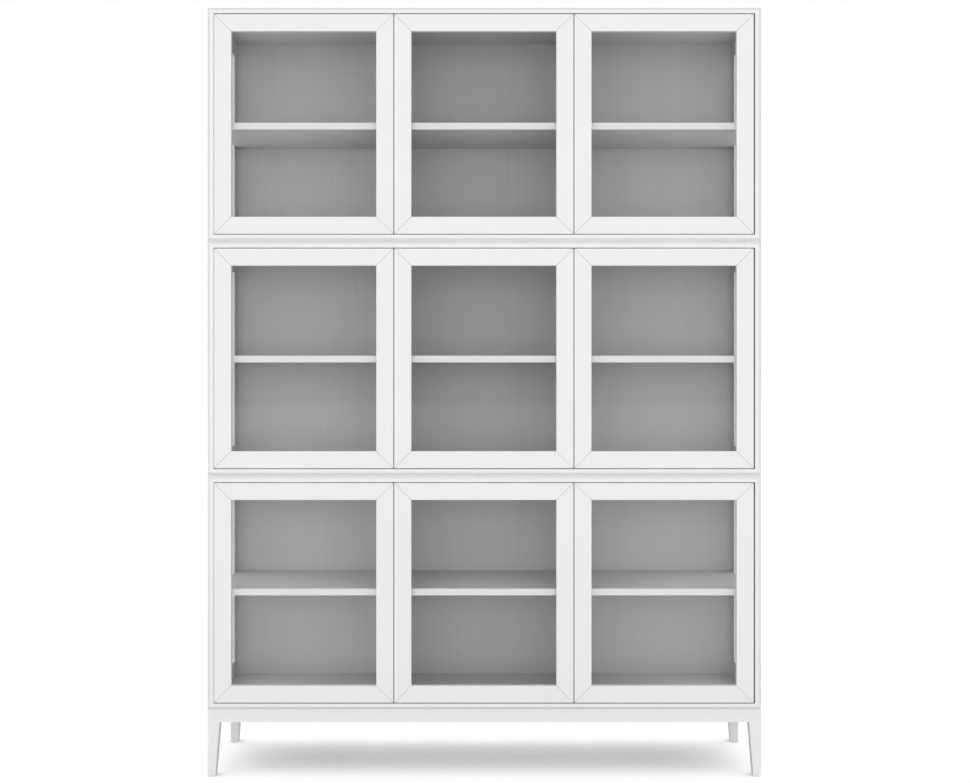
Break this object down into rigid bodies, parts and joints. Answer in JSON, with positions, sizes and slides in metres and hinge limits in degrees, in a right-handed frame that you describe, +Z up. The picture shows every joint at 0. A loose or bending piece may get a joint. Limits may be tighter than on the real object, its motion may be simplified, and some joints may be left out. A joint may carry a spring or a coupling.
{
  "type": "glazed stacking bookcase",
  "caption": "Tall white stacking bookcase: glazed cases with inset hinged glass doors, glazed side panels and inner shelves, on a base with tapered legs.",
  "frame": {"origin": "middle of the footprint, on the floor", "axes": "+Z up, +X to the right as one faces the doors, +Y from the doors to the back"},
  "size_m": [1.528, 0.42, 2.1219],
  "materials": {
    "painted_wood": "satin white paint over fine-grained wood",
    "back_panel": "satin grey-white paint with a faint vertical grain",
    "bare_wood": "bare, fine sawn",
    "glass": "clear float glass",
    "steel": "satin zinc plated",
    "latch_plastic": "fine-textured light grey",
    "glide_plastic": "fine-textured dark grey"
  },
  "bodies": {
    "root": {"front_legs": "painted_wood", "rear_legs": "painted_wood", "leg_glides": "glide_plastic", "front_apron": "painted_wood", "rear_apron": "painted_wood", "side_aprons": "painted_wood", "corner_blocks": "bare_wood", "stacking_dowels": "bare_wood", "back_panels": "back_panel", "partitions": "painted_wood", "shelves": "painted_wood", "shelf_pins": "steel", "side_panes": "glass", "hinge_pins": "steel", "latch_housings": "latch_plastic", "lower_case_top": "painted_wood", "lower_case_bottom": "painted_wood", "lower_side_frames": "painted_wood", "middle_case_top": "painted_wood", "middle_case_bottom": "painted_wood", "middle_side_frames": "painted_wood", "upper_case_top": "painted_wood", "upper_case_bottom": "painted_wood", "upper_side_frames": "painted_wood"},
    "lower_left_door": {"lower_left_door_frame": "painted_wood", "lower_left_door_glass": "glass", "lower_left_door_fittings": "steel"},
    "lower_left_plunger": {"lower_left_latch_plunger": "latch_plastic"},
    "lower_centre_door": {"lower_centre_door_frame": "painted_wood", "lower_centre_door_glass": "glass", "lower_centre_door_fittings": "steel"},
    "lower_centre_plunger": {"lower_centre_latch_plunger": "latch_plastic"},
    "lower_right_door": {"lower_right_door_frame": "painted_wood", "lower_right_door_glass": "glass", "lower_right_door_fittings": "steel"},
    "lower_right_plunger": {"lower_right_latch_plunger": "latch_plastic"},
    "middle_left_door": {"middle_left_door_frame": "painted_wood", "middle_left_door_glass": "glass", "middle_left_door_fittings": "steel"},
    "middle_left_plunger": {"middle_left_latch_plunger": "latch_plastic"},
    "middle_centre_door": {"middle_centre_door_frame": "painted_wood", "middle_centre_door_glass": "glass", "middle_centre_door_fittings": "steel"},
    "middle_centre_plunger": {"middle_centre_latch_plunger": "latch_plastic"},
    "middle_right_door": {"middle_right_door_frame": "painted_wood", "middle_right_door_glass": "glass", "middle_right_door_fittings": "steel"},
    "middle_right_plunger": {"middle_right_latch_plunger": "latch_plastic"},
    "upper_left_door": {"upper_left_door_frame": "painted_wood", "upper_left_door_glass": "glass", "upper_left_door_fittings": "steel"},
    "upper_left_plunger": {"upper_left_latch_plunger": "latch_plastic"},
    "upper_centre_door": {"upper_centre_door_frame": "painted_wood", "upper_centre_door_glass": "glass", "upper_centre_door_fittings": "steel"},
    "upper_centre_plunger": {"upper_centre_latch_plunger": "latch_plastic"},
    "upper_right_door": {"upper_right_door_frame": "painted_wood", "upper_right_door_glass": "glass", "upper_right_door_fittings": "steel"},
    "upper_right_plunger": {"upper_right_latch_plunger": "latch_plastic"}
  },
  "joints": [
    {"name": "lower_left_door_hinge", "type": "hinge", "parent": "root", "child": "lower_left_door", "pos_m": [-0.73025, -0.2055, 0.50865], "axis": [0, 0, -1], "range_deg": [0, 110]},
    {"name": "lower_left_latch_push", "type": "slide", "parent": "root", "child": "lower_left_plunger", "axis": [0, 1, 0], "range_m": [0, 0.003], "stiffness_N_per_m": 300, "springref_m": -0.004},
    {"name": "lower_centre_door_hinge", "type": "hinge", "parent": "root", "child": "lower_centre_door", "pos_m": [-0.2343, -0.2055, 0.50865], "axis": [0, 0, -1], "range_deg": [0, 110]},
    {"name": "lower_centre_latch_push", "type": "slide", "parent": "root", "child": "lower_centre_plunger", "axis": [0, 1, 0], "range_m": [0, 0.003], "stiffness_N_per_m": 300, "springref_m": -0.004},
    {"name": "lower_right_door_hinge", "type": "hinge", "parent": "root", "child": "lower_right_door", "pos_m": [0.7276, -0.2055, 0.50865], "axis": [0, 0, 1], "range_deg": [0, 110]},
    {"name": "lower_right_latch_push", "type": "slide", "parent": "root", "child": "lower_right_plunger", "axis": [0, 1, 0], "range_m": [0, 0.003], "stiffness_N_per_m": 300, "springref_m": -0.004},
    {"name": "middle_left_door_hinge", "type": "hinge", "parent": "root", "child": "middle_left_door", "pos_m": [-0.73025, -0.2055, 1.15395], "axis": [0, 0, -1], "range_deg": [0, 110]},
    {"name": "middle_left_latch_push", "type": "slide", "parent": "root", "child": "middle_left_plunger", "axis": [0, 1, 0], "range_m": [0, 0.003], "stiffness_N_per_m": 300, "springref_m": -0.004},
    {"name": "middle_centre_door_hinge", "type": "hinge", "parent": "root", "child": "middle_centre_door", "pos_m": [-0.2343, -0.2055, 1.15395], "axis": [0, 0, -1], "range_deg": [0, 110]},
    {"name": "middle_centre_latch_push", "type": "slide", "parent": "root", "child": "middle_centre_plunger", "axis": [0, 1, 0], "range_m": [0, 0.003], "stiffness_N_per_m": 300, "springref_m": -0.004},
    {"name": "middle_right_door_hinge", "type": "hinge", "parent": "root", "child": "middle_right_door", "pos_m": [0.7276, -0.2055, 1.15395], "axis": [0, 0, 1], "range_deg": [0, 110]},
    {"name": "middle_right_latch_push", "type": "slide", "parent": "root", "child": "middle_right_plunger", "axis": [0, 1, 0], "range_m": [0, 0.003], "stiffness_N_per_m": 300, "springref_m": -0.004},
    {"name": "upper_left_door_hinge", "type": "hinge", "parent": "root", "child": "upper_left_door", "pos_m": [-0.73025, -0.2055, 1.79925], "axis": [0, 0, -1], "range_deg": [0, 110]},
    {"name": "upper_left_latch_push", "type": "slide", "parent": "root", "child": "upper_left_plunger", "axis": [0, 1, 0], "range_m": [0, 0.003], "stiffness_N_per_m": 300, "springref_m": -0.004},
    {"name": "upper_centre_door_hinge", "type": "hinge", "parent": "root", "child": "upper_centre_door", "pos_m": [-0.2343, -0.2055, 1.79925], "axis": [0, 0, -1], "range_deg": [0, 110]},
    {"name": "upper_centre_latch_push", "type": "slide", "parent": "root", "child": "upper_centre_plunger", "axis": [0, 1, 0], "range_m": [0, 0.003], "stiffness_N_per_m": 300, "springref_m": -0.004},
    {"name": "upper_right_door_hinge", "type": "hinge", "parent": "root", "child": "upper_right_door", "pos_m": [0.7276, -0.2055, 1.79925], "axis": [0, 0, 1], "range_deg": [0, 110]},
    {"name": "upper_right_latch_push", "type": "slide", "parent": "root", "child": "upper_right_plunger", "axis": [0, 1, 0], "range_m": [0, 0.003], "stiffness_N_per_m": 300, "springref_m": -0.004}
  ]
}
